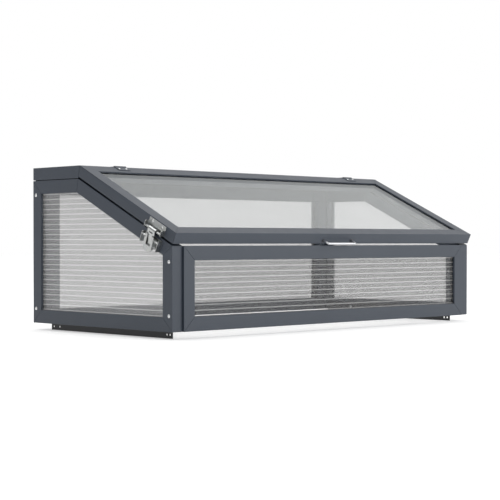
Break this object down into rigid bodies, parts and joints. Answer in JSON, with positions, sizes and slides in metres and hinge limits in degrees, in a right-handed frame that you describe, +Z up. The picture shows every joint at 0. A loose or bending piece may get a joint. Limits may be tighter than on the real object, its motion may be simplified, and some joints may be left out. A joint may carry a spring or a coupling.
{
  "type": "cold frame",
  "caption": "Low glazed cold frame with a sloping clear lid, flat rear roof, ribbed twin-wall panels, side toggle latches, front bow handle and strips that fix it to a raised bed.",
  "frame": {"origin": "on the ground plane under the middle of the outline, at the height of the lower ends of the two mounting strips", "axes": "+X to the right as seen from in front, along the width; +Y from the low front (handle side) to the tall back; +Z up"},
  "size_m": [1.0282, 0.513, 0.3738],
  "materials": {
    "frame_paint": "satin anthracite powder coat on aluminium extrusion",
    "twin_wall_glazing": "ribbed twin-wall sheet, translucent",
    "clear_glazing": "clear sheet",
    "black_rubber": "matt black rubber",
    "black_steel": "black coated steel strip",
    "key_metal": "die-cast corner keys",
    "hinge_paint": "satin anthracite",
    "bright_fasteners": "bright zinc plate",
    "handle_steel": "satin stainless rod",
    "latch_zinc": "bright zinc plated pressed steel"
  },
  "bodies": {
    "root": {"left_bottom_rail": "frame_paint", "left_back_stile": "frame_paint", "left_top_rail": "frame_paint", "left_slope_rail": "frame_paint", "left_front_stile": "frame_paint", "left_glazing": "twin_wall_glazing", "right_bottom_rail": "frame_paint", "right_back_stile": "frame_paint", "right_top_rail": "frame_paint", "right_slope_rail": "frame_paint", "right_front_stile": "frame_paint", "right_glazing": "twin_wall_glazing", "front_bottom_rail": "frame_paint", "front_left_stile": "frame_paint", "front_top_rail": "frame_paint", "front_right_stile": "frame_paint", "front_glazing": "twin_wall_glazing", "back_bottom_rail": "frame_paint", "back_right_stile": "frame_paint", "back_top_rail": "frame_paint", "back_left_stile": "frame_paint", "back_glazing": "twin_wall_glazing", "roof_back_rail": "frame_paint", "roof_right_rail": "frame_paint", "roof_front_rail": "frame_paint", "roof_left_rail": "frame_paint", "roof_board": "frame_paint", "roof_seal": "black_rubber", "corner_keys": "key_metal", "frame_screws": "bright_fasteners", "left_mounting_strip": "black_steel", "right_mounting_strip": "black_steel", "strip_screws": "bright_fasteners", "lid_buffers": "black_rubber", "hinge_roof_leaves": "hinge_paint", "hinge_pins": "hinge_paint", "hinge_roof_screws": "bright_fasteners", "left_latch_base": "latch_zinc", "right_latch_base": "latch_zinc", "latch_base_rivets": "bright_fasteners", "latch_pivots": "bright_fasteners"},
    "lid": {"lid_ridge_rail": "frame_paint", "lid_right_rail": "frame_paint", "lid_front_rail": "frame_paint", "lid_left_rail": "frame_paint", "lid_glazing": "clear_glazing", "lid_corner_keys": "key_metal", "hinge_lid_leaves": "hinge_paint", "hinge_lid_screws": "bright_fasteners", "handle": "handle_steel", "handle_inserts": "black_steel", "left_keeper": "latch_zinc", "right_keeper": "latch_zinc", "keeper_rivets": "bright_fasteners"},
    "left_lever": {"left_latch_lever": "latch_zinc", "left_claw_pin": "bright_fasteners"},
    "left_claw": {"left_latch_claw": "latch_zinc"},
    "right_lever": {"right_latch_lever": "latch_zinc", "right_claw_pin": "bright_fasteners"},
    "right_claw": {"right_latch_claw": "latch_zinc"}
  },
  "joints": [
    {"name": "lid_hinge", "type": "hinge", "parent": "root", "child": "lid", "pos_m": [0, 0.07489, 0.37179], "axis": [-1, 0, 0], "range_deg": [0, 165]},
    {"name": "left_lever_pivot", "type": "hinge", "parent": "root", "child": "left_lever", "pos_m": [-0.5084, -0.17639, 0.20906], "axis": [0, 0.9056, 0.4241], "range_deg": [0, 70]},
    {"name": "left_claw_pivot", "type": "hinge", "parent": "left_lever", "child": "left_claw", "pos_m": [-0.5055, -0.17002, 0.19548], "axis": [0, 0.9056, 0.4241], "range_deg": [-40.25, 0]},
    {"name": "right_lever_pivot", "type": "hinge", "parent": "root", "child": "right_lever", "pos_m": [0.5084, -0.17639, 0.20906], "axis": [0, -0.9056, -0.4241], "range_deg": [0, 70]},
    {"name": "right_claw_pivot", "type": "hinge", "parent": "right_lever", "child": "right_claw", "pos_m": [0.5055, -0.17002, 0.19548], "axis": [0, -0.9056, -0.4241], "range_deg": [-40.25, 0]}
  ],
  "couplings": [
    {"joint": "left_claw_pivot", "follows": "left_lever_pivot", "ratio": -0.575},
    {"joint": "right_claw_pivot", "follows": "right_lever_pivot", "ratio": -0.575}
  ]
}
